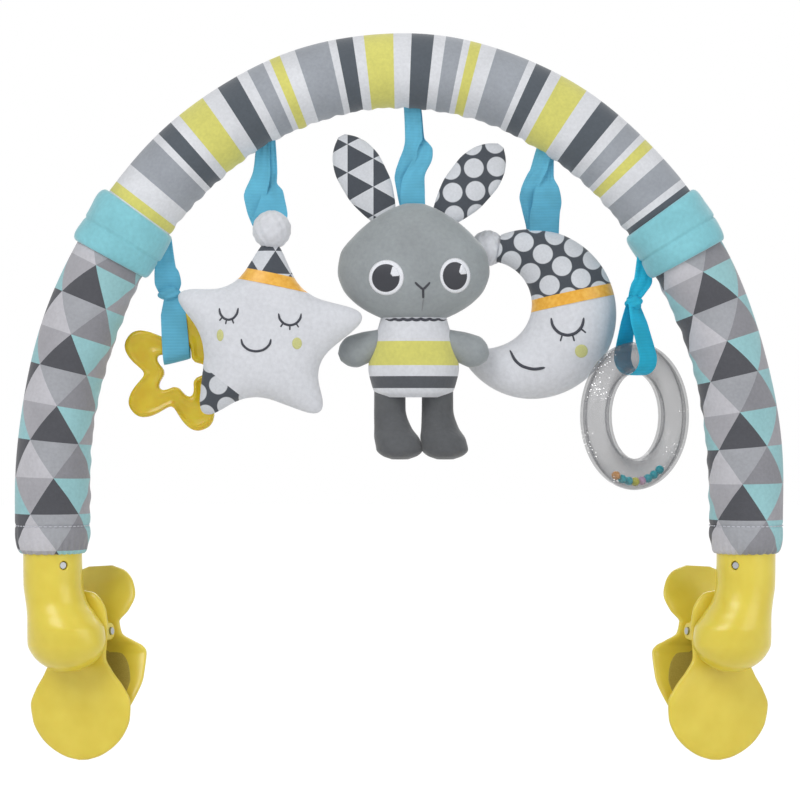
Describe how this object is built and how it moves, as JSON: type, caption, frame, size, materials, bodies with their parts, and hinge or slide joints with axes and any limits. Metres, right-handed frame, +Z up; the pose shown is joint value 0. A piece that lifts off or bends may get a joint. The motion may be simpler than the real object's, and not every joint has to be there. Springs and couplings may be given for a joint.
{
  "type": "pram toy bar",
  "caption": "Padded fabric arch on two swivelling spring clips, with plush toys, a teether and a rattle ring hanging from ribbons.",
  "frame": {"origin": "in the arch's plane, midway between the two legs, at the height where the clips grip the rail", "axes": "+X along the arch's span to the viewer's right, +Y to the rear where the clips grip, +Z up the arch; the toys face -Y"},
  "size_m": [0.461, 0.0866, 0.4375],
  "materials": {
    "tube_plastic": "plain extruded",
    "foam": "soft open-cell foam, hidden",
    "striped_jersey": "brushed jersey printed with stripes",
    "triangle_jersey": "brushed jersey printed with triangles",
    "turquoise_plush": "short velour pile",
    "yellow_plastic": "moulded, satin gloss",
    "grip_pad": "matt soft grip",
    "steel": "plain",
    "blue_ribbon": "grosgrain ribbon",
    "white_plush": "short velour pile",
    "dotted_cloth": "printed cotton, pale dots on dark",
    "triangle_cloth": "printed cotton, triangles",
    "orange_satin": "satin band",
    "gray_plush": "short velour pile",
    "dark_plush": "short velour pile",
    "striped_plush": "velour with printed stripes",
    "yellow_teether": "soft translucent moulding",
    "clear_plastic": "clear, polished",
    "bead_orange": "polished",
    "bead_teal": "polished",
    "bead_yellow": "polished",
    "bead_lilac": "polished"
  },
  "bodies": {
    "arch": {"core_tube": "tube_plastic", "foam_padding": "foam", "top_sleeve": "striped_jersey", "left_leg_sleeve": "triangle_jersey", "right_leg_sleeve": "triangle_jersey", "left_cuff": "turquoise_plush", "right_cuff": "turquoise_plush"},
    "left_socket_body": {"left_socket": "yellow_plastic", "left_socket_screw": "steel"},
    "left_clip": {"left_outer_jaw": "yellow_plastic", "left_outer_pad": "grip_pad", "left_swivel_rivet": "steel", "left_jaw_pin": "steel", "left_jaw_spring": "steel"},
    "left_lever": {"left_inner_jaw": "yellow_plastic", "left_inner_pad": "grip_pad"},
    "right_socket_body": {"right_socket": "yellow_plastic", "right_socket_screw": "steel"},
    "right_clip": {"right_outer_jaw": "yellow_plastic", "right_outer_pad": "grip_pad", "right_swivel_rivet": "steel", "right_jaw_pin": "steel", "right_jaw_spring": "steel"},
    "right_lever": {"right_inner_jaw": "yellow_plastic", "right_inner_pad": "grip_pad"},
    "star": {"star_ribbon": "blue_ribbon", "star_pompom": "white_plush", "star_cap": "triangle_cloth", "star_cap_band": "orange_satin", "star_body": "white_plush", "star_foot_patch": "dotted_cloth"},
    "bunny": {"bunny_ribbon": "blue_ribbon", "bunny_head": "gray_plush", "bunny_left_ear": "dotted_cloth", "bunny_right_ear": "triangle_cloth", "bunny_body": "striped_plush", "bunny_left_arm": "gray_plush", "bunny_right_arm": "gray_plush", "bunny_left_leg": "dark_plush", "bunny_right_leg": "dark_plush"},
    "moon": {"moon_ribbon": "blue_ribbon", "moon_pompom": "white_plush", "moon_cap": "dotted_cloth", "moon_cap_band": "orange_satin", "moon_body": "white_plush"},
    "teether_strap": {"teether_ribbon": "blue_ribbon"},
    "teether": {"star_teether": "yellow_teether"},
    "ring_strap": {"ring_ribbon": "blue_ribbon"},
    "ring": {"ring_front_half": "clear_plastic", "ring_rear_half": "clear_plastic"},
    "beads": {"bead_1": "bead_orange", "bead_2": "bead_teal", "bead_3": "bead_teal", "bead_4": "bead_yellow", "bead_5": "bead_lilac", "bead_6": "bead_teal", "bead_7": "bead_teal", "bead_8": "bead_teal"}
  },
  "joints": [
    {"name": "left_clip_turn", "type": "hinge", "parent": "arch", "child": "left_socket_body", "pos_m": [-0.208, 0, 0.09], "axis": [0, 0, 1], "range_deg": [-90, 90]},
    {"name": "left_clip_tilt", "type": "hinge", "parent": "left_socket_body", "child": "left_clip", "pos_m": [-0.19583, 0.01277, 0.051], "axis": [-0.3746, -0.9272, 0], "range_deg": [-40, 40]},
    {"name": "left_jaw_open", "type": "hinge", "parent": "left_clip", "child": "left_lever", "pos_m": [-0.19033, 0.02565, 0.04701], "axis": [0.9249, -0.3737, 0.0698], "range_deg": [0, 25], "stiffness_Nm_per_rad": 0.3, "springref_deg": -8.59, "deforming": ["left_jaw_spring"]},
    {"name": "right_clip_turn", "type": "hinge", "parent": "arch", "child": "right_socket_body", "pos_m": [0.208, 0, 0.09], "axis": [0, 0, 1], "range_deg": [-90, 90]},
    {"name": "right_clip_tilt", "type": "hinge", "parent": "right_socket_body", "child": "right_clip", "pos_m": [0.19583, 0.01277, 0.051], "axis": [0.3746, -0.9272, 0], "range_deg": [-40, 40]},
    {"name": "right_jaw_open", "type": "hinge", "parent": "right_clip", "child": "right_lever", "pos_m": [0.19033, 0.02565, 0.04701], "axis": [0.9249, 0.3737, -0.0698], "range_deg": [0, 25], "stiffness_Nm_per_rad": 0.3, "springref_deg": -8.59, "deforming": ["right_jaw_spring"]},
    {"name": "star_swing", "type": "hinge", "parent": "arch", "child": "star", "pos_m": [-0.0822, 0, 0.33247], "axis": [-1, 0, 0], "range_deg": [0, 45]},
    {"name": "bunny_swing", "type": "hinge", "parent": "arch", "child": "bunny", "pos_m": [0.0106, 0, 0.35895], "axis": [-1, 0, 0], "range_deg": [0, 30]},
    {"name": "moon_swing", "type": "hinge", "parent": "arch", "child": "moon", "pos_m": [0.09, 0, 0.32656], "axis": [1, 0, 0], "range_deg": [0, 40]},
    {"name": "teether_swing", "type": "hinge", "parent": "arch", "child": "teether_strap", "pos_m": [-0.141, 0, 0.26761], "axis": [1, 0, 0], "range_deg": [0, 40]},
    {"name": "teether_rock", "type": "hinge", "parent": "teether_strap", "child": "teether", "pos_m": [-0.13535, 0.0062, 0.21507], "axis": [0, -1, 0], "range_deg": [-8, 8]},
    {"name": "ring_swing", "type": "hinge", "parent": "arch", "child": "ring_strap", "pos_m": [0.1455, 0, 0.26051], "axis": [-1, 0, 0], "range_deg": [0, 45]},
    {"name": "ring_spin", "type": "hinge", "parent": "ring_strap", "child": "ring", "pos_m": [0.1416, 0, 0.1788], "axis": [0.6871, -0.7266, 0], "continuous": true},
    {"name": "beads_roll", "type": "hinge", "parent": "ring", "child": "beads", "pos_m": [0.1416, 0, 0.1788], "axis": [0.6871, -0.7266, 0], "continuous": true}
  ]
}
